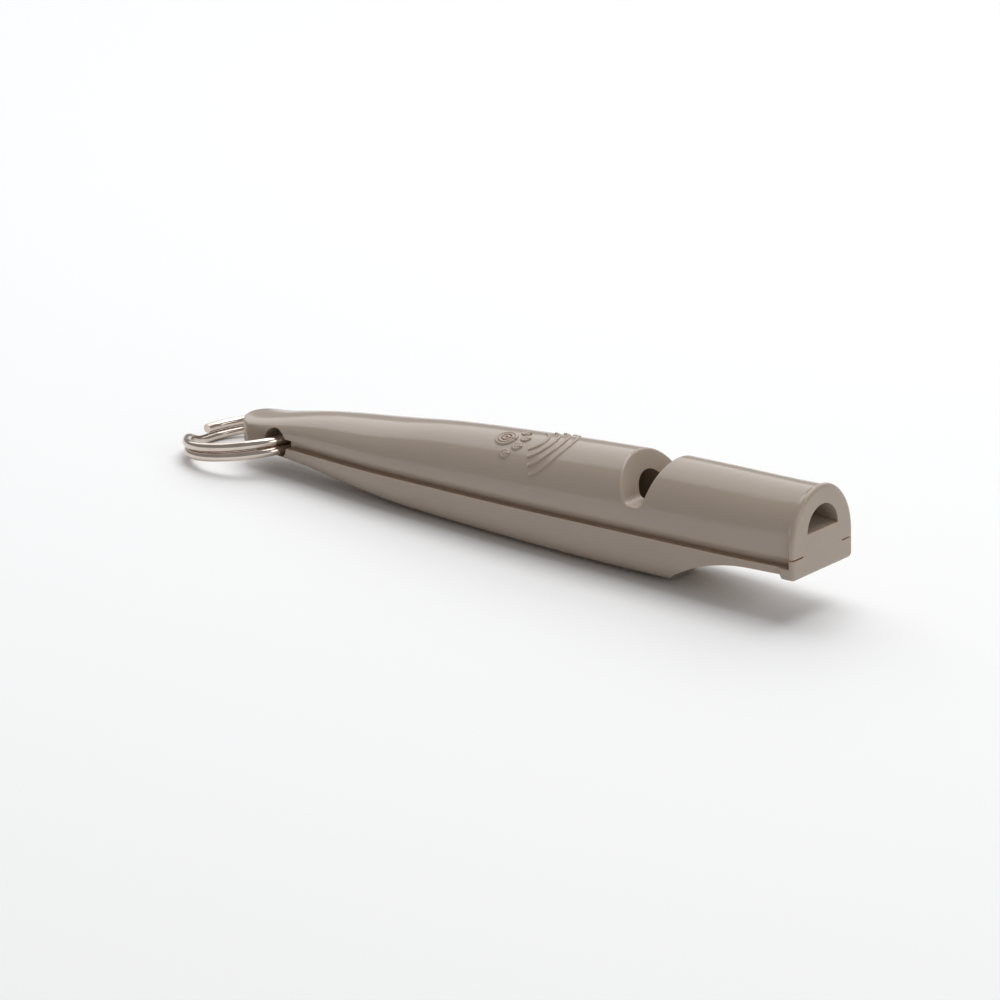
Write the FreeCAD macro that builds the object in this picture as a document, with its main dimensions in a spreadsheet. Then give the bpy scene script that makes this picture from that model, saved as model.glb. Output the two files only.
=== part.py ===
"""Pealess dog-training whistle: two welded mouldings and a split ring.

The whistle's own frame has +X from the tail to the mouth, +Y to the left and
+Z up, with x = 0 at the tail and z = 0 at the seam between the mouldings.
The pieces are then placed as the whistle lies at rest: nose up by a small
pitch on its curved keel, with the far side of the ring on the same surface.
"""

import FreeCAD, Part
import math
import os

import Sketcher
from FreeCAD import Placement, Rotation, Vector

OUT_DIR = "parts"

# Driving dimensions in millimetres and degrees, one alias per cell.
DIMENSIONS = {
    "body_length": 81.0,
    "rest_pitch": 2.0,
    # side groove below the seam, from the ring hole to the lip
    "groove_height": 1.1,
    "groove_depth": 0.85,
    "groove_start": 8.0,
    "flange_root": 0.2,
    # rounded tail end and the cross hole for the ring
    "tail_radius": 3.5,
    "tail_edge_radius": 0.32,
    "hole_x": 7.0,
    "hole_drop": 0.72,
    "hole_radius": 1.75,
    # mouth lip, which flares out of the body; its foot starts further back
    "lip_start": 80.1,
    "lip_flare": 0.45,
    "lip_half_width": 5.3,
    "lip_crown": 6.85,
    "lip_skirt": 0.8,
    "lip_edge_radius": 0.4,
    "foot_start": 78.7,
    "foot_flare": 0.75,
    "foot_depth": 2.4,
    "foot_corner": 0.6,
    # relief cut along both ends of the seam across the mouth face
    "relief_height": 0.16,
    "relief_length": 1.9,
    "relief_depth": 0.5,
    # bite recess under the mouthpiece: a long scoop that runs out into a flat
    "bite_depth": 1.9,
    "bite_flat_start": 75.5,
    "bite_scoop_radius": 20.0,
    # window: a notch across the crown
    "window_top_z": 7.5,
    "window_floor_z": 2.0,
    "window_tail_x": 59.05,
    "window_tail_slant": 24.5,
    "window_mouth_x": 61.2,
    "window_mouth_slant": 14.0,
    "window_fillet": 0.95,
    "window_rim_radius": 0.35,
    # half-round windway bore, sounding chamber and the plug that floors the windway
    "bore_radius": 2.67,
    "bore_axis_z": 2.13,
    "chamber_radius": 2.4,
    "chamber_axis_z": 2.0,
    "chamber_start": 44.5,
    "plug_start": 61.9,
    "plug_rise": 4.0,
    "plug_mouth_z": 2.13,
    # weight-saving cores behind the chamber
    "core_start": 14.0,
    "core_end": 42.0,
    "core_half_width": 2.4,
    "core_height": 1.5,
    "core_drop": 2.2,
    # split ring
    "ring_radius": 7.55,
    "ring_sag": 0.42,
    "wire_radius": 0.54,
    "coil_pitch": 1.12,
    "ring_step_angle": 178.0,
    "crossover_angle": 42.0,
}

# Stations from tail to mouth: place, half width, crown height, height of the
# upright skirt under the arch, keel depth and the hull's corner radius.
STATIONS = [
    (0.0, 3.15, 1.10, 0.50, 2.25, 1.10),
    (4.0, 3.42, 1.46, 0.50, 2.60, 1.50),
    (10.0, 3.80, 2.54, 0.55, 3.14, 2.00),
    (18.0, 4.58, 3.51, 0.60, 4.28, 2.85),
    (28.0, 5.12, 4.62, 0.60, 5.30, 3.40),
    (40.0, 5.46, 5.56, 0.75, 5.82, 3.65),
    (54.0, 5.48, 6.32, 1.10, 6.21, 3.65),
    (66.0, 5.38, 6.58, 1.35, 6.22, 3.60),
    (80.1, 4.84, 6.62, 1.95, 6.22, 3.30),
]
STATION_FIELDS = ("place", "width", "crown", "skirt", "keel", "corner")


def make_sheet(doc):
    """Write every driving dimension to a spreadsheet, one aliased cell each."""
    sheet = doc.addObject("Spreadsheet::Sheet", "Dims")
    cells = dict(DIMENSIONS)
    for index, station in enumerate(STATIONS):
        for field, value in zip(STATION_FIELDS, station):
            cells[f"{field}_{index}"] = value
    for row, (alias, value) in enumerate(cells.items(), start=1):
        sheet.set(f"A{row}", alias)
        sheet.set(f"B{row}", str(value))
        sheet.setAlias(f"B{row}", alias)
    doc.recompute()
    return sheet


def origin_plane(body, role):
    for feature in body.Origin.OriginFeatures:
        if feature.Role == role:
            return feature
    raise ValueError(f"{body.Label} has no {role}")


def new_sketch(body, name, role, offset=None, offset_cell=None):
    """Make a sketch on one of the body's planes, moved along the plane's normal."""
    sketch = body.newObject("Sketcher::SketchObject", name)
    sketch.AttachmentSupport = [(origin_plane(body, role), "")]
    sketch.MapMode = "FlatFace"
    if offset is not None:
        sketch.AttachmentOffset = Placement(Vector(0, 0, offset), Rotation())
    if offset_cell:
        sketch.setExpression("AttachmentOffset.Base.z", offset_cell)
    return sketch


def chain(sketch, curves):
    """Add a closed chain of curves, joined end to start, and return their ids."""
    ids = [sketch.addGeometry(curve, False) for curve in curves]
    for first, second in zip(ids, ids[1:] + ids[:1]):
        sketch.addConstraint(Sketcher.Constraint("Coincident", first, 2, second, 1))
    return ids


def polyline(points):
    return [Part.LineSegment(a, b) for a, b in zip(points, points[1:] + points[:1])]


def bind(sketch, constraint, expression):
    """Add a dimensional constraint and tie it to the spreadsheet."""
    index = sketch.addConstraint(constraint)
    sketch.setExpression(f"Constraints[{index}]", expression)
    return index


def pin_point(sketch, curve, end, x_cell, y_cell, x, y):
    """Fix a point of a curve at a sheet position measured from the sketch origin."""
    for kind, value, cell in (("DistanceX", x, x_cell), ("DistanceY", y, y_cell)):
        bind(sketch, Sketcher.Constraint(kind, -1, 1, curve, end, value), cell)


def arch_section(body, name, offset_cell, place, width, crown, skirt, cells):
    """Upper section: a half-ellipse arch on two upright skirts."""
    sketch = new_sketch(body, name, "YZ_Plane", place, offset_cell)
    rise, quarter = crown - skirt, math.pi / 2
    if rise > width:
        long_axis, start = "Vertical", -quarter
        ellipse = Part.Ellipse(Vector(0, crown, 0), Vector(-width, skirt, 0), Vector(0, skirt, 0))
    else:
        long_axis, start = "Horizontal", 0
        ellipse = Part.Ellipse(Vector(0, skirt, 0), width, rise)
    arch, left, base, right = chain(sketch, [
        Part.ArcOfEllipse(ellipse, start, start + 2 * quarter),
        Part.LineSegment(Vector(-width, skirt, 0), Vector(-width, 0, 0)),
        Part.LineSegment(Vector(-width, 0, 0), Vector(width, 0, 0)),
        Part.LineSegment(Vector(width, 0, 0), Vector(width, skirt, 0)),
    ])
    sketch.exposeInternalGeometry(arch)
    major, minor = right + 1, right + 2
    height = major if rise > width else minor
    for constraint in (
        Sketcher.Constraint("Vertical", right),
        Sketcher.Constraint("PointOnObject", base, 1, -1),
        Sketcher.Constraint("Symmetric", base, 1, base, 2, -2),
        Sketcher.Constraint(long_axis, major),
        Sketcher.Constraint("Horizontal", arch, 2, arch, 3),
        Sketcher.Constraint("Horizontal", arch, 1, arch, 3),
        Sketcher.Constraint("PointOnObject", arch, 3, -2),
    ):
        sketch.addConstraint(constraint)
    bind(sketch, Sketcher.Constraint("DistanceX", base, 1, base, 2, 2 * width),
         f"2 * {cells['width']}")
    bind(sketch, Sketcher.Constraint("DistanceY", right, 1, right, 2, skirt), cells["skirt"])
    bind(sketch, Sketcher.Constraint("Distance", height, 2 * rise),
         f"2 * ({cells['crown']} - {cells['skirt']})")
    return sketch


def hull_section(body, name, offset_cell, place, width, depth, corner, top, cells):
    """Lower section: upright sides, round corners and a narrow flat keel."""
    sketch = new_sketch(body, name, "YZ_Plane", place, offset_cell)
    flat, side = width - corner, depth - corner
    turn = math.pi / 2
    right_arc = Part.ArcOfCircle(
        Part.Circle(Vector(flat, -side, 0), Vector(0, 0, 1), corner), 3 * turn, 4 * turn)
    left_arc = Part.ArcOfCircle(
        Part.Circle(Vector(-flat, -side, 0), Vector(0, 0, 1), corner), 2 * turn, 3 * turn)
    roof, left, low_left, keel, low_right, right = [
        sketch.addGeometry(curve, False) for curve in (
            Part.LineSegment(Vector(width, -top, 0), Vector(-width, -top, 0)),
            Part.LineSegment(Vector(-width, -top, 0), Vector(-width, -side, 0)),
            left_arc,
            Part.LineSegment(Vector(-flat, -depth, 0), Vector(flat, -depth, 0)),
            right_arc,
            Part.LineSegment(Vector(width, -side, 0), Vector(width, -top, 0)),
        )]
    for constraint in (
        Sketcher.Constraint("Coincident", roof, 2, left, 1),
        Sketcher.Constraint("Tangent", left, 2, low_left, 1),
        Sketcher.Constraint("Tangent", low_left, 2, keel, 1),
        Sketcher.Constraint("Tangent", keel, 2, low_right, 1),
        Sketcher.Constraint("Tangent", low_right, 2, right, 1),
        Sketcher.Constraint("Coincident", right, 2, roof, 1),
        Sketcher.Constraint("Symmetric", roof, 1, roof, 2, -2),
        Sketcher.Constraint("Vertical", left),
        Sketcher.Constraint("Vertical", right),
        Sketcher.Constraint("Horizontal", keel),
    ):
        sketch.addConstraint(constraint)
    bind(sketch, Sketcher.Constraint("Radius", low_left, corner), cells["corner"])
    bind(sketch, Sketcher.Constraint("Radius", low_right, corner), cells["corner"])
    bind(sketch, Sketcher.Constraint("DistanceX", roof, 2, roof, 1, 2 * width),
         f"2 * {cells['width']}")
    if top:
        bind(sketch, Sketcher.Constraint("DistanceY", roof, 1, -1, 1, top), cells["top"])
    else:
        sketch.addConstraint(Sketcher.Constraint("PointOnObject", roof, 1, -1))
    bind(sketch, Sketcher.Constraint("DistanceY", keel, 1, -1, 1, depth), cells["keel"])
    return sketch


def box_section(body, name, offset_cell, place, width, top, bottom, cells):
    """Rectangle across the body, between two heights."""
    sketch = new_sketch(body, name, "YZ_Plane", place, offset_cell)
    roof, left, base, right = chain(sketch, polyline([
        Vector(width, top, 0), Vector(-width, top, 0),
        Vector(-width, bottom, 0), Vector(width, bottom, 0)]))
    for constraint in (
        Sketcher.Constraint("Symmetric", roof, 1, roof, 2, -2),
        Sketcher.Constraint("Vertical", left),
        Sketcher.Constraint("Vertical", right),
        Sketcher.Constraint("Horizontal", base),
        Sketcher.Constraint("PointOnObject", roof, 1, -1),
    ):
        sketch.addConstraint(constraint)
    bind(sketch, Sketcher.Constraint("DistanceX", roof, 2, roof, 1, 2 * width),
         f"2 * ({cells['width']})")
    bind(sketch, Sketcher.Constraint("DistanceY", base, 1, -1, 1, -bottom), cells["bottom"])
    return sketch


def tunnel_section(body, name, offset_cell, place, radius, axis_z, cells):
    """Inverted U, open at the seam: a half-round roof on upright sides."""
    sketch = new_sketch(body, name, "YZ_Plane", place, offset_cell)
    roof = Part.ArcOfCircle(Part.Circle(Vector(0, axis_z, 0), Vector(0, 0, 1), radius), 0, math.pi)
    arch, left, base, right = [sketch.addGeometry(curve, False) for curve in (
        roof,
        Part.LineSegment(Vector(-radius, axis_z, 0), Vector(-radius, 0, 0)),
        Part.LineSegment(Vector(-radius, 0, 0), Vector(radius, 0, 0)),
        Part.LineSegment(Vector(radius, 0, 0), Vector(radius, axis_z, 0)),
    )]
    for constraint in (
        Sketcher.Constraint("Tangent", arch, 2, left, 1),
        Sketcher.Constraint("Coincident", left, 2, base, 1),
        Sketcher.Constraint("Coincident", base, 2, right, 1),
        Sketcher.Constraint("Tangent", right, 2, arch, 1),
        Sketcher.Constraint("Vertical", left),
        Sketcher.Constraint("PointOnObject", base, 1, -1),
        Sketcher.Constraint("Symmetric", base, 1, base, 2, -2),
        Sketcher.Constraint("Vertical", right),
    ):
        sketch.addConstraint(constraint)
    bind(sketch, Sketcher.Constraint("Radius", arch, radius), cells["radius"])
    bind(sketch, Sketcher.Constraint("DistanceY", right, 1, right, 2, axis_z), cells["axis"])
    return sketch


def add_loft(body, name, sketches, ruled=False):
    loft = body.newObject("PartDesign::AdditiveLoft", name)
    loft.Profile = sketches[0]
    loft.Sections = sketches[1:]
    loft.Ruled = ruled
    body.Document.recompute()
    return loft


def add_pocket(body, name, sketch, length_cell=None, both_ways=False, reverse=False):
    """Cut a sketch out of the body, through all of it or by a sheet length."""
    before = body.Tip.Shape.Volume if body.Tip else 0.0
    pocket = body.newObject("PartDesign::Pocket", name)
    pocket.Profile = sketch
    pocket.Reversed = reverse
    if length_cell:
        pocket.Type = "Length"
        pocket.setExpression("Length", length_cell)
    else:
        pocket.Type = "ThroughAll"
    if both_ways:
        pocket.SideType = "Symmetric"
    body.Document.recompute()
    if not pocket.Shape.Volume < before - 0.01:
        raise ValueError(f"{name} cuts nothing")
    return pocket


def add_pad(body, name, sketch, length_cell, reverse=False, both_ways=False):
    pad = body.newObject("PartDesign::Pad", name)
    pad.Profile = sketch
    pad.Reversed = reverse
    if both_ways:
        pad.SideType = "Symmetric"
    pad.setExpression("Length", length_cell)
    body.Document.recompute()
    return pad


def add_fillet(body, name, edges, radius_cell):
    """Round the named edges of the body's last feature."""
    base = body.Tip
    if not edges:
        raise ValueError(f"{name} finds no edges")
    fillet = body.newObject("PartDesign::Fillet", name)
    fillet.Base = (base, edges)
    fillet.setExpression("Radius", radius_cell)
    body.Document.recompute()
    return fillet


def find_edges(shape, wanted):
    """Names of the edges off the seam whose every sampled point passes the test."""
    names = []
    for number, edge in enumerate(shape.Edges, start=1):
        points = edge.discretize(5)
        on_seam = all(abs(point.z) < 0.001 for point in points)
        if not on_seam and all(wanted(point) for point in points):
            names.append(f"Edge{number}")
    return names


def round_mouth_edge(body, sheet):
    """Round the outline of the mouth face."""
    def on_face(point):
        return abs(point.x - sheet.body_length) < 0.01
    add_fillet(body, f"{body.Label}_mouth_edge", find_edges(body.Tip.Shape, on_face),
               "Dims.lip_edge_radius")


def round_tail_edge(body, sheet):
    """Round the outline of the tail's round end."""
    def on_end(point):
        from_axis = math.hypot(point.x - sheet.tail_radius, point.y)
        return abs(from_axis - sheet.tail_radius) < 0.01 and point.x < sheet.tail_radius
    add_fillet(body, f"{body.Label}_tail_edge", find_edges(body.Tip.Shape, on_end),
               "Dims.tail_edge_radius")


def round_tail(body, sheet):
    """Trim the plan corners of the tail to a full round end."""
    radius, margin = sheet.tail_radius, 3.0
    outer = radius + margin
    sketch = new_sketch(body, f"{body.Label}_tail_outline", "XY_Plane")
    ids = [sketch.addGeometry(curve, False) for curve in (
        Part.ArcOfCircle(Part.Circle(Vector(radius, 0, 0), Vector(0, 0, 1), radius),
                         math.pi / 2, 3 * math.pi / 2),
        Part.LineSegment(Vector(radius, -radius, 0), Vector(radius, -outer, 0)),
        Part.LineSegment(Vector(radius, -outer, 0), Vector(-margin, -outer, 0)),
        Part.LineSegment(Vector(-margin, -outer, 0), Vector(-margin, outer, 0)),
        Part.LineSegment(Vector(-margin, outer, 0), Vector(radius, outer, 0)),
        Part.LineSegment(Vector(radius, outer, 0), Vector(radius, radius, 0)),
    )]
    for first, second in zip(ids, ids[1:] + ids[:1]):
        sketch.addConstraint(Sketcher.Constraint("Coincident", first, 2, second, 1))
    arc, low, bottom, far, top, high = ids
    for constraint in (
        Sketcher.Constraint("Vertical", low), Sketcher.Constraint("Vertical", high),
        Sketcher.Constraint("Horizontal", bottom), Sketcher.Constraint("Horizontal", top),
        Sketcher.Constraint("PointOnObject", arc, 3, -1),
        Sketcher.Constraint("Vertical", arc, 1, arc, 3),
        Sketcher.Constraint("Symmetric", far, 1, far, 2, -1),
        Sketcher.Constraint("DistanceX", far, 1, -1, 1, margin),
        Sketcher.Constraint("DistanceY", far, 1, far, 2, 2 * outer),
    ):
        sketch.addConstraint(constraint)
    bind(sketch, Sketcher.Constraint("Radius", arc, radius), "Dims.tail_radius")
    bind(sketch, Sketcher.Constraint("DistanceX", -1, 1, arc, 3, radius), "Dims.tail_radius")
    add_pocket(body, f"{body.Label}_tail_round", sketch, both_ways=True)


def drill_ring_hole(body, sheet):
    """Drill the cross hole, which the seam runs through."""
    sketch = new_sketch(body, f"{body.Label}_hole_outline", "XZ_Plane")
    circle = sketch.addGeometry(Part.Circle(
        Vector(sheet.hole_x, -sheet.hole_drop, 0), Vector(0, 0, 1), sheet.hole_radius), False)
    bind(sketch, Sketcher.Constraint("Radius", circle, sheet.hole_radius), "Dims.hole_radius")
    bind(sketch, Sketcher.Constraint("DistanceX", -1, 1, circle, 3, sheet.hole_x), "Dims.hole_x")
    bind(sketch, Sketcher.Constraint("DistanceY", circle, 3, -1, 1, sheet.hole_drop),
         "Dims.hole_drop")
    add_pocket(body, f"{body.Label}_ring_hole", sketch, both_ways=True)


def core_out(body, sheet, depth_cell, reverse):
    """Hollow the stretch behind the chamber with a round-ended slot."""
    half, start, end = sheet.core_half_width, sheet.core_start, sheet.core_end
    first, last = start + half, end - half
    sketch = new_sketch(body, f"{body.Label}_core_outline", "XY_Plane")
    turn = math.pi / 2
    tail_arc, low, mouth_arc, high = [sketch.addGeometry(curve, False) for curve in (
        Part.ArcOfCircle(Part.Circle(Vector(first, 0, 0), Vector(0, 0, 1), half), turn, 3 * turn),
        Part.LineSegment(Vector(first, -half, 0), Vector(last, -half, 0)),
        Part.ArcOfCircle(Part.Circle(Vector(last, 0, 0), Vector(0, 0, 1), half), -turn, turn),
        Part.LineSegment(Vector(last, half, 0), Vector(first, half, 0)),
    )]
    for constraint in (
        Sketcher.Constraint("Tangent", tail_arc, 2, low, 1),
        Sketcher.Constraint("Tangent", low, 2, mouth_arc, 1),
        Sketcher.Constraint("Tangent", mouth_arc, 2, high, 1),
        Sketcher.Constraint("Tangent", high, 2, tail_arc, 1),
        Sketcher.Constraint("Horizontal", low),
        Sketcher.Constraint("PointOnObject", tail_arc, 3, -1),
    ):
        sketch.addConstraint(constraint)
    bind(sketch, Sketcher.Constraint("Radius", tail_arc, half), "Dims.core_half_width")
    bind(sketch, Sketcher.Constraint("DistanceX", -1, 1, tail_arc, 3, first),
         "Dims.core_start + Dims.core_half_width")
    bind(sketch, Sketcher.Constraint("DistanceX", -1, 1, mouth_arc, 3, last),
         "Dims.core_end - Dims.core_half_width")
    add_pocket(body, f"{body.Label}_core", sketch, depth_cell, reverse=reverse)


def station_cells(index):
    return {field: f"Dims.{field}_{index}" for field in STATION_FIELDS}


def make_upper_body(doc, sheet):
    """Upper moulding: barrel with windway bore, window, chamber and mouth arch."""
    body = doc.addObject("PartDesign::Body", "upper_body")
    body.Label = "upper_body"
    sections = []
    for index, (place, width, crown, skirt, _, _) in enumerate(STATIONS):
        cells = station_cells(index)
        sections.append(arch_section(body, f"arch_{index}", cells["place"],
                                     place, width, crown, skirt, cells))
    add_loft(body, "barrel", sections)

    lip = (sheet.lip_half_width, sheet.lip_crown, sheet.lip_skirt)
    lip_cells = {"width": "Dims.lip_half_width", "crown": "Dims.lip_crown",
                 "skirt": "Dims.lip_skirt"}
    flared, flared_cell = sheet.lip_start + sheet.lip_flare, "Dims.lip_start + Dims.lip_flare"
    root = arch_section(body, "lip_root", "Dims.lip_start", sheet.lip_start, *STATIONS[-1][1:4],
                        station_cells(len(STATIONS) - 1))
    wide, face = (arch_section(body, name, flared_cell, flared, *lip, lip_cells)
                  for name in ("lip_wide", "lip_face"))
    add_loft(body, "lip_flank", [root, wide], ruled=True)
    add_pad(body, "lip", face, "Dims.body_length - Dims.lip_start - Dims.lip_flare")
    round_tail(body, sheet)
    round_mouth_edge(body, sheet)
    round_tail_edge(body, sheet)

    bore = tunnel_section(body, "bore_outline", "Dims.window_mouth_x", sheet.window_mouth_x,
                          sheet.bore_radius, sheet.bore_axis_z,
                          {"radius": "Dims.bore_radius", "axis": "Dims.bore_axis_z"})
    add_pocket(body, "windway_bore", bore, reverse=True)
    chamber = tunnel_section(body, "chamber_outline", "Dims.chamber_start", sheet.chamber_start,
                             sheet.chamber_radius, sheet.chamber_axis_z,
                             {"radius": "Dims.chamber_radius", "axis": "Dims.chamber_axis_z"})
    add_pocket(body, "chamber", chamber, "Dims.window_mouth_x - Dims.chamber_start", reverse=True)
    cut_window(body, sheet)
    core_out(body, sheet, "Dims.core_height", reverse=True)
    drill_ring_hole(body, sheet)
    return body


def cut_window(body, sheet):
    """Cut the notch across the crown: sloped tail wall, steep mouth wall, round corners."""
    floor, top, radius = sheet.window_floor_z, sheet.window_top_z, sheet.window_fillet
    height = top - floor
    tail_slant = math.radians(sheet.window_tail_slant)
    mouth_slant = math.radians(sheet.window_mouth_slant)
    tail_top = Vector(sheet.window_tail_x - height * math.tan(tail_slant), top, 0)
    mouth_top = Vector(sheet.window_mouth_x + height * math.tan(mouth_slant), top, 0)
    turn = math.pi / 2
    tail_setback = radius / math.tan((turn + tail_slant) / 2)
    mouth_setback = radius / math.tan((turn + mouth_slant) / 2)
    tail_circle = Part.Circle(
        Vector(sheet.window_tail_x + tail_setback, floor + radius, 0), Vector(0, 0, 1), radius)
    mouth_circle = Part.Circle(
        Vector(sheet.window_mouth_x - mouth_setback, floor + radius, 0), Vector(0, 0, 1), radius)
    tail_arc = Part.ArcOfCircle(tail_circle, 2 * turn + tail_slant, 3 * turn)
    mouth_arc = Part.ArcOfCircle(mouth_circle, 3 * turn, 4 * turn - mouth_slant)
    sketch = new_sketch(body, "window_outline", "XZ_Plane")
    tail_wall, tail_corner, base, mouth_corner, mouth_wall, roof = [
        sketch.addGeometry(curve, False) for curve in (
            Part.LineSegment(tail_top, tail_arc.StartPoint), tail_arc,
            Part.LineSegment(tail_arc.EndPoint, mouth_arc.StartPoint), mouth_arc,
            Part.LineSegment(mouth_arc.EndPoint, mouth_top),
            Part.LineSegment(mouth_top, tail_top))]
    for constraint in (
        Sketcher.Constraint("Tangent", tail_wall, 2, tail_corner, 1),
        Sketcher.Constraint("Tangent", tail_corner, 2, base, 1),
        Sketcher.Constraint("Tangent", base, 2, mouth_corner, 1),
        Sketcher.Constraint("Tangent", mouth_corner, 2, mouth_wall, 1),
        Sketcher.Constraint("Coincident", mouth_wall, 2, roof, 1),
        Sketcher.Constraint("Coincident", roof, 2, tail_wall, 1),
        Sketcher.Constraint("Horizontal", base),
        Sketcher.Constraint("Horizontal", roof),
    ):
        sketch.addConstraint(constraint)
    rise = "(Dims.window_top_z - Dims.window_floor_z)"
    for constraint, expression in (
        (Sketcher.Constraint("Radius", tail_corner, radius), "Dims.window_fillet"),
        (Sketcher.Constraint("Radius", mouth_corner, radius), "Dims.window_fillet"),
        (Sketcher.Constraint("DistanceY", -1, 1, base, 1, floor), "Dims.window_floor_z"),
        (Sketcher.Constraint("DistanceY", -1, 1, roof, 1, top), "Dims.window_top_z"),
        (Sketcher.Constraint("Angle", tail_wall, tail_slant - turn),
         "(Dims.window_tail_slant - 90) * 1 deg"),
        (Sketcher.Constraint("Angle", mouth_wall, turn - mouth_slant),
         "(90 - Dims.window_mouth_slant) * 1 deg"),
        (Sketcher.Constraint("DistanceX", -1, 1, roof, 2, tail_top.x),
         f"Dims.window_tail_x - {rise} * tan(Dims.window_tail_slant * 1 deg)"),
        (Sketcher.Constraint("DistanceX", -1, 1, roof, 1, mouth_top.x),
         f"Dims.window_mouth_x + {rise} * tan(Dims.window_mouth_slant * 1 deg)"),
    ):
        bind(sketch, constraint, expression)
    add_pocket(body, "window", sketch, both_ways=True)
    round_window_rim(body, sheet)


def round_window_rim(body, sheet):
    """Round the window's outer rim, all the way over the crown and along the floor."""
    reach = sheet.window_top_z - sheet.window_floor_z

    def on_rim(point):
        outside_bore = math.hypot(point.y, point.z - sheet.chamber_axis_z) > sheet.bore_radius + 0.5
        return (outside_bore and point.z > sheet.window_floor_z - 0.01
                and sheet.window_tail_x - reach < point.x < sheet.window_mouth_x + reach)

    add_fillet(body, "window_rim", find_edges(body.Tip.Shape, on_rim), "Dims.window_rim_radius")


def make_lower_body(doc, sheet):
    """Lower moulding: keel, groove flange, bite recess, lip and windway plug."""
    body = doc.addObject("PartDesign::Body", "lower_body")
    body.Label = "lower_body"
    hulls, flanges = [], []
    for index, (place, width, _, _, keel, corner) in enumerate(STATIONS):
        cells = station_cells(index)
        hulls.append(hull_section(body, f"hull_{index}", cells["place"], place, width,
                                  keel, corner, 0, cells))
    add_loft(body, "hull", hulls)
    cut_groove(body, sheet)
    for index, (place, width, *_) in enumerate(STATIONS):
        cells = {"width": f"Dims.width_{index} - Dims.groove_depth",
                 "bottom": "Dims.groove_height + Dims.flange_root"}
        flanges.append(box_section(body, f"flange_{index}", f"Dims.place_{index}", place,
                                   width - sheet.groove_depth, 0,
                                   -sheet.groove_height - sheet.flange_root, cells))
    add_loft(body, "flange", flanges)
    round_tail(body, sheet)
    round_tail_edge(body, sheet)
    scoop_bite(body, sheet)
    add_lower_lip(body, sheet)
    add_plug(body, sheet)
    core_out(body, sheet, "Dims.core_drop", reverse=False)
    drill_ring_hole(body, sheet)
    return body


def cut_groove(body, sheet):
    """Cut the hull away below the seam, where only the narrow flange stands."""
    start, end, depth = sheet.groove_start, sheet.body_length, sheet.groove_height
    sketch = new_sketch(body, "groove_outline", "XZ_Plane")
    roof, front, floor, back = chain(sketch, polyline([
        Vector(start, 0, 0), Vector(end, 0, 0), Vector(end, -depth, 0), Vector(start, -depth, 0)]))
    for constraint in (
        Sketcher.Constraint("Horizontal", roof),
        Sketcher.Constraint("Vertical", front),
        Sketcher.Constraint("Horizontal", floor),
        Sketcher.Constraint("Vertical", back),
        Sketcher.Constraint("PointOnObject", roof, 1, -1),
    ):
        sketch.addConstraint(constraint)
    bind(sketch, Sketcher.Constraint("DistanceX", -1, 1, roof, 1, start), "Dims.groove_start")
    bind(sketch, Sketcher.Constraint("DistanceX", -1, 1, roof, 2, end), "Dims.body_length")
    bind(sketch, Sketcher.Constraint("DistanceY", floor, 1, -1, 1, depth), "Dims.groove_height")
    add_pocket(body, "groove", sketch, both_ways=True)


def scoop_bite(body, sheet):
    """Scoop the keel away under the mouthpiece, for the teeth and lower lip."""
    radius, depth, start = sheet.bite_scoop_radius, sheet.bite_depth, sheet.bite_flat_start
    turn = math.pi / 2
    centre = Vector(start, -depth - radius, 0)
    past_mouth = sheet.body_length + 2
    low_end, flat_end = Vector(past_mouth, centre.y, 0), Vector(past_mouth, -depth, 0)
    sketch = new_sketch(body, "bite_outline", "XZ_Plane")
    scoop, base, front, flat = [sketch.addGeometry(curve, False) for curve in (
        Part.ArcOfCircle(Part.Circle(centre, Vector(0, 0, 1), radius), turn, 2 * turn),
        Part.LineSegment(centre - Vector(radius, 0, 0), low_end),
        Part.LineSegment(low_end, flat_end),
        Part.LineSegment(flat_end, Vector(start, -depth, 0)),
    )]
    for constraint in (
        Sketcher.Constraint("Coincident", scoop, 2, base, 1),
        Sketcher.Constraint("Coincident", base, 2, front, 1),
        Sketcher.Constraint("Coincident", front, 2, flat, 1),
        Sketcher.Constraint("Tangent", flat, 2, scoop, 1),
        Sketcher.Constraint("Horizontal", scoop, 2, scoop, 3),
        Sketcher.Constraint("Horizontal", base),
        Sketcher.Constraint("Vertical", front),
        Sketcher.Constraint("Horizontal", flat),
        Sketcher.Constraint("DistanceX", -1, 1, front, 1, past_mouth),
    ):
        sketch.addConstraint(constraint)
    bind(sketch, Sketcher.Constraint("Radius", scoop, radius), "Dims.bite_scoop_radius")
    bind(sketch, Sketcher.Constraint("DistanceX", -1, 1, flat, 2, start), "Dims.bite_flat_start")
    bind(sketch, Sketcher.Constraint("DistanceY", flat, 2, -1, 1, depth), "Dims.bite_depth")
    add_pocket(body, "bite_recess", sketch, both_ways=True)


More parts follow.
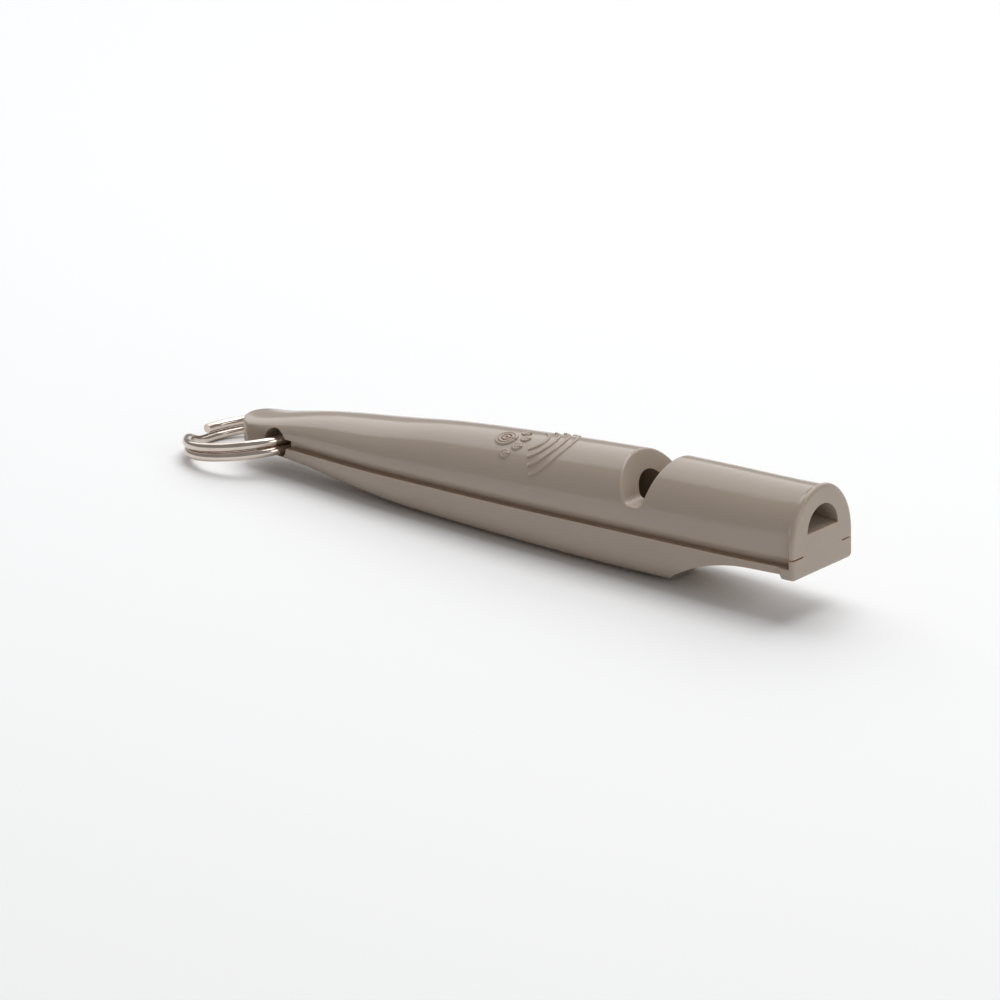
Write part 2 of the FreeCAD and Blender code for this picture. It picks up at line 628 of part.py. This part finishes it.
def add_lower_lip(body, sheet):
    """Close the groove at the mouth, over a foot that flares outwards and down."""
    last = len(STATIONS) - 1
    width = STATIONS[last][1]
    foot_end = sheet.foot_start + sheet.foot_flare
    foot_end_cell = "Dims.foot_start + Dims.foot_flare"
    root_cells = {"width": f"Dims.width_{last}", "keel": "Dims.bite_depth",
                  "corner": "Dims.foot_corner", "top": "Dims.groove_height"}
    foot_cells = dict(root_cells, width="Dims.lip_half_width", keel="Dims.foot_depth")
    root = hull_section(body, "foot_root", "Dims.foot_start", sheet.foot_start, width,
                        sheet.bite_depth, sheet.foot_corner, sheet.groove_height, root_cells)
    wide, face = (hull_section(body, name, foot_end_cell, foot_end, sheet.lip_half_width,
                               sheet.foot_depth, sheet.foot_corner, sheet.groove_height, foot_cells)
                  for name in ("foot_wide", "foot_face"))
    add_loft(body, "foot_flank", [root, wide], ruled=True)
    add_pad(body, "foot", face, "Dims.body_length - Dims.foot_start - Dims.foot_flare")

    flared, flared_cell = sheet.lip_start + sheet.lip_flare, "Dims.lip_start + Dims.lip_flare"
    bottom = -sheet.groove_height - sheet.flange_root
    stop_cells = {"width": f"Dims.width_{last}", "bottom": "Dims.groove_height + Dims.flange_root"}
    lip_cells = dict(stop_cells, width="Dims.lip_half_width")
    stop = box_section(body, "groove_stop", "Dims.lip_start", sheet.lip_start, width,
                       0, bottom, stop_cells)
    wide, face = (box_section(body, name, flared_cell, flared, sheet.lip_half_width,
                              0, bottom, lip_cells) for name in ("lip_wide", "lip_face"))
    add_loft(body, "lip_flank", [stop, wide], ruled=True)
    add_pad(body, "lip", face, "Dims.body_length - Dims.lip_start - Dims.lip_flare")
    round_mouth_edge(body, sheet)
    for name, side in (("left", 1), ("right", -1)):
        relieve_seam(body, sheet, name, side)


def relieve_seam(body, sheet, name, side):
    """Cut a fine step into one end of the seam across the mouth face."""
    inner = sheet.lip_half_width - sheet.relief_length
    outer, bottom = sheet.lip_half_width, -sheet.relief_height
    sketch = new_sketch(body, f"relief_{name}_outline", "YZ_Plane", sheet.body_length,
                        "Dims.body_length")
    roof, outside, base, inside = chain(sketch, polyline([
        Vector(side * inner, 0, 0), Vector(side * outer, 0, 0),
        Vector(side * outer, bottom, 0), Vector(side * inner, bottom, 0)]))
    for constraint in (
        Sketcher.Constraint("PointOnObject", roof, 1, -1),
        Sketcher.Constraint("Horizontal", roof),
        Sketcher.Constraint("Vertical", outside),
        Sketcher.Constraint("Horizontal", base),
        Sketcher.Constraint("Vertical", inside),
    ):
        sketch.addConstraint(constraint)
    near, far = (((-1, 1, roof, 1), (-1, 1, roof, 2)) if side > 0
                 else ((roof, 1, -1, 1), (roof, 2, -1, 1)))
    bind(sketch, Sketcher.Constraint("DistanceX", *near, inner),
         "Dims.lip_half_width - Dims.relief_length")
    bind(sketch, Sketcher.Constraint("DistanceX", *far, outer), "Dims.lip_half_width")
    bind(sketch, Sketcher.Constraint("DistanceY", base, 1, -1, 1, sheet.relief_height),
         "Dims.relief_height")
    add_pocket(body, f"relief_{name}", sketch, "Dims.relief_depth")


def add_plug(body, sheet):
    """Plug that fills the bore under the windway and rises towards the window."""
    outline = tunnel_section(body, "plug_outline", "Dims.plug_start", sheet.plug_start,
                             sheet.bore_radius, sheet.bore_axis_z,
                             {"radius": "Dims.bore_radius", "axis": "Dims.bore_axis_z"})
    add_pad(body, "plug", outline, "Dims.body_length - Dims.plug_start")
    start, end, top = sheet.plug_start, sheet.body_length, sheet.window_top_z
    sketch = new_sketch(body, "windway_floor", "XZ_Plane")
    floor, front, roof, back = chain(sketch, polyline([
        Vector(start, sheet.plug_rise, 0), Vector(end, sheet.plug_mouth_z, 0),
        Vector(end, top, 0), Vector(start, top, 0)]))
    for constraint in (
        Sketcher.Constraint("Vertical", front),
        Sketcher.Constraint("Vertical", back),
        Sketcher.Constraint("Horizontal", roof),
    ):
        sketch.addConstraint(constraint)
    pin_point(sketch, floor, 1, "Dims.plug_start", "Dims.plug_rise", start, sheet.plug_rise)
    pin_point(sketch, floor, 2, "Dims.body_length", "Dims.plug_mouth_z", end,
              sheet.plug_mouth_z)
    bind(sketch, Sketcher.Constraint("DistanceY", -1, 1, roof, 1, top), "Dims.window_top_z")
    add_pocket(body, "windway", sketch, both_ways=True)


def ring_sagitta(sheet):
    """How far the ring's wire bows over the length of the hole."""
    radius, half_length = sheet.ring_radius, sheet.tail_radius
    return radius - math.sqrt(radius ** 2 - half_length ** 2)


def make_split_ring(doc, sheet):
    """Split ring: two flat coils of one wire joined by a short crossover."""
    radius, pitch = sheet.ring_radius, sheet.coil_pitch
    step, cross = math.radians(sheet.ring_step_angle), math.radians(sheet.crossover_angle)
    centre = Vector(-(radius - ring_sagitta(sheet) / 2), 0, 0)

    def at(angle, height):
        return centre + Vector(radius * math.cos(angle), radius * math.sin(angle), height)

    def coil(start, sweep, height):
        return Part.Arc(at(start, height), at(start + sweep / 2, height),
                        at(start + sweep, height)).toShape()

    full = 2 * math.pi
    low, high = -pitch / 2, pitch / 2
    lower = coil(step + cross - full, full - cross, low)
    upper = coil(step + cross - full, full - cross, high)
    count = 9
    points = []
    for number in range(count):
        share = number / (count - 1)
        rise = share - math.sin(full * share) / full
        points.append(at(step + cross * share, low + pitch * rise))
    crossover = Part.BSplineCurve()
    tangent = [Vector(-math.sin(angle), math.cos(angle), 0) for angle in (step, step + cross)]
    crossover.interpolate(Points=points, InitialTangent=tangent[0], FinalTangent=tangent[1])
    spine = doc.addObject("Part::Feature", "ring_spine")
    spine.Shape = Part.Wire([lower, crossover.toShape(), upper])

    section = doc.addObject("Part::Circle", "ring_section")
    section.setExpression("Radius", "Dims.wire_radius")
    start = step + cross - full
    section.Placement = Placement(
        at(start, low), Rotation(Vector(0, 0, 1), Vector(-math.sin(start), math.cos(start), 0)))
    ring = doc.addObject("Part::Sweep", "split_ring")
    ring.Label = "split_ring"
    ring.Sections = [section]
    ring.Spine = (spine, [f"Edge{number}" for number in range(1, 4)])
    ring.Solid = True
    ring.Frenet = True
    doc.recompute()
    return ring


def box_of(pieces):
    """Exact bounding box of several placed pieces."""
    return Part.Compound([piece.Shape for piece in pieces]).optimalBoundingBox(True, False)


def place_at_rest(doc, sheet, mouldings, ring):
    """Pitch the whistle on its keel, lay the ring down, and put the origin under its middle."""
    pitch = Rotation(Vector(0, 1, 0), -sheet.rest_pitch)
    for body in mouldings:
        body.Placement = Placement(Vector(), pitch)
    doc.recompute()
    ground = box_of(mouldings).ZMin
    hinge = pitch.multVec(Vector(sheet.hole_x, 0, -sheet.hole_drop - sheet.ring_sag))

    # The ring turns about the hole until its far side is down at the keel's level.
    reach = 2 * sheet.ring_radius - ring_sagitta(sheet) / 2
    half_pitch = sheet.coil_pitch / 2
    drop = hinge.z - ground - sheet.wire_radius
    tilt = math.asin(drop / math.hypot(reach, half_pitch)) - math.atan2(half_pitch, reach)
    lay_down = Rotation(Vector(0, 1, 0), -math.degrees(tilt))
    ring.Placement = Placement(hinge, lay_down)
    doc.recompute()

    whole = box_of(mouldings + [ring])
    shift = Vector(-(whole.XMin + whole.XMax) / 2, 0, -ground)
    for body in mouldings:
        body.Placement = Placement(shift, pitch)
    ring.Placement = Placement(hinge + shift, lay_down)
    doc.recompute()
    print("ring hinge at", hinge + shift)


def check(doc, pieces):
    """Stop if any object failed, or if a piece is not one valid solid."""
    for item in doc.Objects:
        if "Invalid" in item.State or "Error" in item.State:
            raise ValueError(f"{item.Label} failed to compute: {item.State}")
    for piece in pieces:
        shape = piece.Shape
        if shape.isNull() or not shape.isValid() or len(shape.Solids) != 1:
            raise ValueError(f"{piece.Label} is not one valid solid")


def main():
    doc = FreeCAD.newDocument("whistle")
    sheet = make_sheet(doc)
    mouldings = [make_upper_body(doc, sheet), make_lower_body(doc, sheet)]
    ring = make_split_ring(doc, sheet)
    place_at_rest(doc, sheet, mouldings, ring)
    pieces = mouldings + [ring]
    check(doc, pieces)
    os.makedirs(OUT_DIR, exist_ok=True)
    for piece in pieces:
        piece.Shape.exportStep(os.path.join(OUT_DIR, f"{piece.Label}.step"))
    print("whole part spans", box_of(pieces))


main()
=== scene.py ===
"""Looks for the pealess dog-training whistle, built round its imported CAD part.

Everything is in metres in the part's own frame: +X from the ring and tail to
the mouth, +Y to the left, +Z up, with the floor at z = 0.
"""

import math

import bpy
from mathutils import Matrix, Vector
from mathutils.bvhtree import BVHTree


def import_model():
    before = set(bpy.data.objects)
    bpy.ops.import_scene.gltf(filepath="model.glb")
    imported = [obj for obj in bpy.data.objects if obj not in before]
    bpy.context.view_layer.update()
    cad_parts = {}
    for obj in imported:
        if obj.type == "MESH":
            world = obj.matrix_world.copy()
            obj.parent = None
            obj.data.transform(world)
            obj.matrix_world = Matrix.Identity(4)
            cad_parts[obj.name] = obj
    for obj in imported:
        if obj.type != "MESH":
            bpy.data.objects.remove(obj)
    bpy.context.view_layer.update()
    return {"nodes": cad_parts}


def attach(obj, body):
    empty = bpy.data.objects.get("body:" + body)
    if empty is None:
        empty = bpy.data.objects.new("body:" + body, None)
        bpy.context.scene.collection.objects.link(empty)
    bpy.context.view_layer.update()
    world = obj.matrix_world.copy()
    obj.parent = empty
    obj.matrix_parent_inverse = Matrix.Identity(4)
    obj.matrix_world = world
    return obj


MM = 0.001

# How the whistle lies: pitched nose up about the ring hole.
PITCH = math.radians(2.0)
HOLE_WORLD = Vector((-29.445314, 0, 3.526567)) * MM
HOLE_BODY = Vector((7.0, 0, -1.14)) * MM

# Where the camera stands: turned from the right side towards the mouth, and
# raised; the lens is for a sensor of SENSOR millimetres.
CAMERA_TURN, CAMERA_RISE = math.radians(39.79), math.radians(18.79)
CAMERA_DISTANCE = 450 * MM
CAMERA_AIM = (40.0, 0.0, 0.0)  # in the whistle's own frame, millimetres
LENS, SENSOR = 148.03, 36.0
SHIFT_X, SHIFT_Y = -0.01807, -0.02083

# The motif's raised lines, the barrel that they follow, and how far from its axis
# the rays start that find its surface, in millimetres.
LINE_WIDTH, LINE_HEIGHT = 0.42, 0.18
BARREL_RADIUS = 5.6
BARREL_AXIS_Z = 1.0
RAY_START = 20.0
# A line's section: share of its width across, share of its height up.
LINE_SECTION = ((-0.5, -0.05), (-0.42, 0.6), (-0.25, 0.95), (0.25, 0.95), (0.42, 0.6), (0.5, -0.05))
# The paw's pad and toes, each filled by rings, and the sound waves' centre, in
# millimetres along the barrel and round it from the crown towards the right side.
PAD = (40.2, 2.4)
PAD_RINGS = (0.35, 0.85, 1.25)
TOES = ((41.9, 0.6), (42.7, 2.0), (42.5, 3.6), (41.5, 4.9))
TOE_RINGS = (0.18, 0.48)
WAVE_CENTRE = (43.2, 1.8)
WAVE_RADIUS, WAVE_GAP, WAVE_COUNT = 2.2, 1.15, 4
WAVE_HALF_ANGLE = 62

FLOOR_HALF = 3.0
SKY = (1.0, 0.995, 0.985, 1)
SKY_STRENGTH = 0.28
# Softboxes aimed at the origin: name, place, width and height in metres, watts, colour.
LIGHTS = (
    ("top_softbox", (0.02, 0.12, 0.55), (0.50, 0.36), 1.5, (1, 1, 1)),
    ("back_panel", (-0.35, 0.43, 0.575), (1.30, 0.85), 4.5, (0.97, 0.985, 1.0)),
    ("mouth_fill", (0.90, -0.05, 0.35), (0.5, 0.5), 1.4, (1, 1, 1)),
)

# Colours, linear: the plastic, its paler streaks, the painted glow on its edges and the painted
# light in its crevices, then the ring and its tarnish.
TAUPE = (0.390, 0.320, 0.264)
TAUPE_PALE = (0.4095, 0.3344, 0.27456)
TAUPE_PAINTED_EDGE_GLOW = (0.43, 0.31, 0.22)
TAUPE_PAINTED_CREVICE_LIGHT = (0.50, 0.36, 0.26)
NICKEL = (0.76, 0.67, 0.60)
NICKEL_DULL = (0.62, 0.53, 0.46)


def to_world(x, y, z):
    """A point of the whistle's own frame, in millimetres, as one of the part's, in metres."""
    local = Vector((x, y, z)) * MM - HOLE_BODY
    turned = Matrix.Rotation(-PITCH, 3, "Y") @ local
    return turned + HOLE_WORLD


# ---------------------------------------------------------------- materials

def feed(tree, socket, value):
    """Link a socket to another, or set it to a constant."""
    if isinstance(value, bpy.types.NodeSocket):
        tree.links.new(value, socket)
    else:
        socket.default_value = value


class Nodes:
    """Short way to add and join shader nodes."""

    def __init__(self, name):
        self.material = bpy.data.materials.new(name)
        self.material.use_nodes = True
        self.tree = self.material.node_tree
        self.shader = self.tree.nodes["Principled BSDF"]

    def add(self, kind, inputs=None, **settings):
        node = self.tree.nodes.new(kind)
        for key, value in settings.items():
            setattr(node, key, value)
        for key, value in (inputs or {}).items():
            feed(self.tree, node.inputs[key], value)
        return node

    def noise(self, scale, detail=2.0, roughness=0.5, stretch=(1, 1, 1)):
        """Noise in the part's frame, drawn out along an axis where its stretch is under 1."""
        place = self.add("ShaderNodeTexCoord").outputs["Object"]
        mapped = self.add("ShaderNodeMapping", {"Vector": place, "Scale": stretch})
        node = self.add("ShaderNodeTexNoise", {
            "Vector": mapped.outputs["Vector"], "Scale": scale,
            "Detail": detail, "Roughness": roughness})
        return node.outputs["Fac"]

    def remap(self, value, low, high, start=0.3, end=0.7):
        node = self.add("ShaderNodeMapRange", {
            "Value": value, "From Min": start, "From Max": end, "To Min": low, "To Max": high})
        return node.outputs["Result"]

    def mix(self, factor, first, second):
        node = self.add("ShaderNodeMix", data_type="RGBA")
        for index, value in ((0, factor), (6, first), (7, second)):
            feed(self.tree, node.inputs[index], value)
        return node.outputs[2]

    def math(self, operation, first, second):
        node = self.add("ShaderNodeMath", {0: first, 1: second}, operation=operation)
        return node.outputs[0]

    def set(self, **values):
        for key, value in values.items():
            feed(self.tree, self.shader.inputs[key.replace("_", " ")], value)


def plastic_material():
    """Glossy warm-grey moulded plastic, with a painted warm glow along its edges and painted warm
    light in its crevices.
    """
    nodes = Nodes("warm_grey_plastic")
    edge = nodes.add("ShaderNodeBevel", {"Radius": 0.55 * MM}, samples=6)
    geometry = nodes.add("ShaderNodeNewGeometry")
    softened = nodes.add("ShaderNodeVectorMath", {
        0: edge.outputs["Normal"], 1: geometry.outputs["Normal"]}, operation="DOT_PRODUCT")
    # Painted glow: a browner, brighter tint along the edges, standing in for light seen through the
    # translucent plastic.
    painted_edge_glow_mask = nodes.remap(softened.outputs["Value"], 0.75, 0.0, start=0.80, end=0.998)
    flow = nodes.noise(160.0, detail=3.0, stretch=(0.25, 1, 1))
    tone = nodes.mix(nodes.remap(flow, 0.0, 1.0), (*TAUPE, 1), (*TAUPE_PALE, 1))
    tinted = nodes.mix(painted_edge_glow_mask, tone, (*TAUPE_PAINTED_EDGE_GLOW, 1))
    # Painted light in the crevices: where ambient occlusion finds a recess, the colour turns warmer
    # and brighter, standing in for light glowing through the translucent plastic.
    crevice = nodes.add("ShaderNodeAmbientOcclusion", {"Distance": 1.4 * MM}, samples=6)
    painted_crevice_light_mask = nodes.remap(crevice.outputs["AO"], 0.75, 0.0, start=0.25, end=0.72)
    colour = nodes.mix(painted_crevice_light_mask, tinted, (*TAUPE_PAINTED_CREVICE_LIGHT, 1))
    haze = nodes.noise(420.0, detail=4.0, stretch=(0.5, 1, 1))
    grain = nodes.noise(5200.0, detail=2.0)
    waves = nodes.noise(95.0, detail=1.0, stretch=(0.35, 1, 1))
    height = nodes.math("ADD", waves, nodes.math("MULTIPLY", grain, 0.012))
    bump = nodes.add("ShaderNodeBump", {
        "Height": height, "Strength": 0.35, "Distance": 0.12 * MM})
    nodes.set(Base_Color=colour, Roughness=nodes.remap(haze, 0.13, 0.19),
              Normal=bump.outputs["Normal"], IOR=1.5, Subsurface_Weight=0.12,
              Subsurface_Radius=(1.0, 0.62, 0.42), Subsurface_Scale=0.9 * MM)
    return nodes.material


def nickel_material():
    """Polished nickel plate, unevenly dulled, with a very fine grain."""
    nodes = Nodes("nickel_plate")
    tarnish = nodes.noise(330.0, detail=4.0)
    fine = nodes.noise(2600.0, detail=3.0)
    colour = nodes.mix(nodes.remap(tarnish, 0.0, 1.0), (*NICKEL, 1), (*NICKEL_DULL, 1))
    bump = nodes.add("ShaderNodeBump", {
        "Height": fine, "Strength": 0.18, "Distance": 0.01 * MM})
    nodes.set(Base_Color=colour, Metallic=1.0, Roughness=nodes.remap(tarnish, 0.10, 0.19),
              Normal=bump.outputs["Normal"])
    return nodes.material


def floor_material():
    nodes = Nodes("studio_floor")
    nodes.set(Base_Color=(0.93, 0.93, 0.935, 1), Roughness=0.55, Specular_IOR_Level=0.25)
    return nodes.material


def give(node, material):
    """Put a material on every slot of a CAD node's object."""
    for slot in node.material_slots:
        slot.material = material


# ------------------------------------------------------------ raised motif

class Surface:
    """The upper moulding's outside, to lay a motif on."""

    def __init__(self, node):
        self.tree = BVHTree.FromObject(node, bpy.context.evaluated_depsgraph_get())

    def at(self, along, angle):
        """The outside's point and normal at an angle up round the barrel from its left side."""
        axis = to_world(along, 0, BARREL_AXIS_Z)
        outward = Matrix.Rotation(-PITCH, 3, "Y") @ Vector((0, math.cos(angle), math.sin(angle)))
        start = axis + outward * RAY_START * MM
        point, normal, _, _ = self.tree.ray_cast(start, -outward)
        return point, normal


def ribbon(surface, name, path):
    """A raised line with bevelled shoulders that follows a path over the barrel.

    The path is a list of (millimetres along, millimetres round from the crown
    towards the right side); the two are near enough equal in scale.
    """
    vertices, faces = [], []
    for index, (along, around) in enumerate(path):
        before = path[max(index - 1, 0)]
        after = path[min(index + 1, len(path) - 1)]
        step = Vector((after[0] - before[0], after[1] - before[1])).normalized()
        side = Vector((-step.y, step.x))
        for across, lift in LINE_SECTION:
            shift = side * across * LINE_WIDTH
            angle = math.pi / 2 + (around + shift.y) / BARREL_RADIUS
            point, normal = surface.at(along + shift.x, angle)
            vertices.append(point + normal * lift * LINE_HEIGHT * MM)
    count = len(LINE_SECTION)
    for row in range(len(path) - 1):
        for column in range(count - 1):
            first = row * count + column
            faces.append((first, first + 1, first + count + 1, first + count))
    for row, flip in ((0, True), (len(path) - 1, False)):
        cap = [row * count + column for column in range(count)]
        faces.append(tuple(cap) if flip else tuple(reversed(cap)))
    mesh = bpy.data.meshes.new(name)
    mesh.from_pydata(vertices, [], faces)
    mesh.update()
    for polygon in mesh.polygons:
        polygon.use_smooth = True
    piece = bpy.data.objects.new(name, mesh)
    bpy.context.scene.collection.objects.link(piece)
    return piece


def arc_path(centre, radius, start, end, steps):
    """Points on part of a circle on the unrolled surface, angles in degrees."""
    points = []
    for index in range(steps + 1):
        angle = math.radians(start + (end - start) * index / steps)
        points.append((centre[0] + radius * math.cos(angle), centre[1] + radius * math.sin(angle)))
    return points


def paw_and_waves():
    """Paths of a plain motif in place of lettering: a paw print and sound waves."""
    lines = []
    for radius in PAD_RINGS:
        lines.append(arc_path(PAD, radius, 0, 360, steps=24))
    for toe in TOES:
        for radius in TOE_RINGS:
            lines.append(arc_path(toe, radius, 0, 360, steps=14))
    for number in range(WAVE_COUNT):
        radius = WAVE_RADIUS + WAVE_GAP * number
        lines.append(arc_path(WAVE_CENTRE, radius, -WAVE_HALF_ANGLE, WAVE_HALF_ANGLE, steps=26))
    return lines


# ------------------------------------------------------------------- stage

def make_camera():
    data = bpy.data.cameras.new("camera")
    data.sensor_width, data.lens = SENSOR, LENS
    data.shift_x, data.shift_y = SHIFT_X, SHIFT_Y
    data.clip_start, data.clip_end = 0.01, 20.0
    camera = bpy.data.objects.new("camera", data)
    bpy.context.scene.collection.objects.link(camera)
    right = Vector((math.cos(CAMERA_TURN), math.sin(CAMERA_TURN), 0))
    level = Vector((right.y, -right.x, 0))
    back = level * math.cos(CAMERA_RISE) + Vector((0, 0, math.sin(CAMERA_RISE)))
    turned = Matrix((right, back.cross(right), back)).transposed().to_4x4()
    place = to_world(*CAMERA_AIM) + back * CAMERA_DISTANCE
    camera.matrix_world = Matrix.Translation(place) @ turned
    bpy.context.scene.camera = camera


def area_light(name, place, size, power, colour):
    data = bpy.data.lights.new(name, "AREA")
    data.shape = "RECTANGLE"
    data.size, data.size_y = size
    data.energy = power
    data.color = colour
    light = bpy.data.objects.new(name, data)
    bpy.context.scene.collection.objects.link(light)
    light.location = place
    light.rotation_mode = "QUATERNION"
    light.rotation_quaternion = (-Vector(place)).to_track_quat("-Z", "Y")


def make_stage():
    mesh = bpy.data.meshes.new("floor")
    half = FLOOR_HALF
    corners = [(-half, -half, 0), (half, -half, 0), (half, half, 0), (-half, half, 0)]
    mesh.from_pydata(corners, [], [(0, 1, 2, 3)])
    mesh.materials.append(floor_material())
    floor = bpy.data.objects.new("floor", mesh)
    bpy.context.scene.collection.objects.link(floor)

    world = bpy.data.worlds.new("studio")
    world.use_nodes = True
    background = world.node_tree.nodes["Background"]
    background.inputs["Color"].default_value = SKY
    background.inputs["Strength"].default_value = SKY_STRENGTH
    bpy.context.scene.world = world

    for light in LIGHTS:
        area_light(*light)
    bpy.context.scene.view_settings.view_transform = "Standard"


def main():
    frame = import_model()
    nodes = frame["nodes"]
    plastic, nickel = plastic_material(), nickel_material()
    give(nodes["upper_body"], plastic)
    give(nodes["lower_body"], plastic)
    give(nodes["split_ring"], nickel)

    surface = Surface(nodes["upper_body"])
    for index, path in enumerate(paw_and_waves()):
        line = ribbon(surface, f"motif_{index}", path)
        line.data.materials.append(plastic)
        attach(line, "whistle")

    make_stage()
    make_camera()


main()
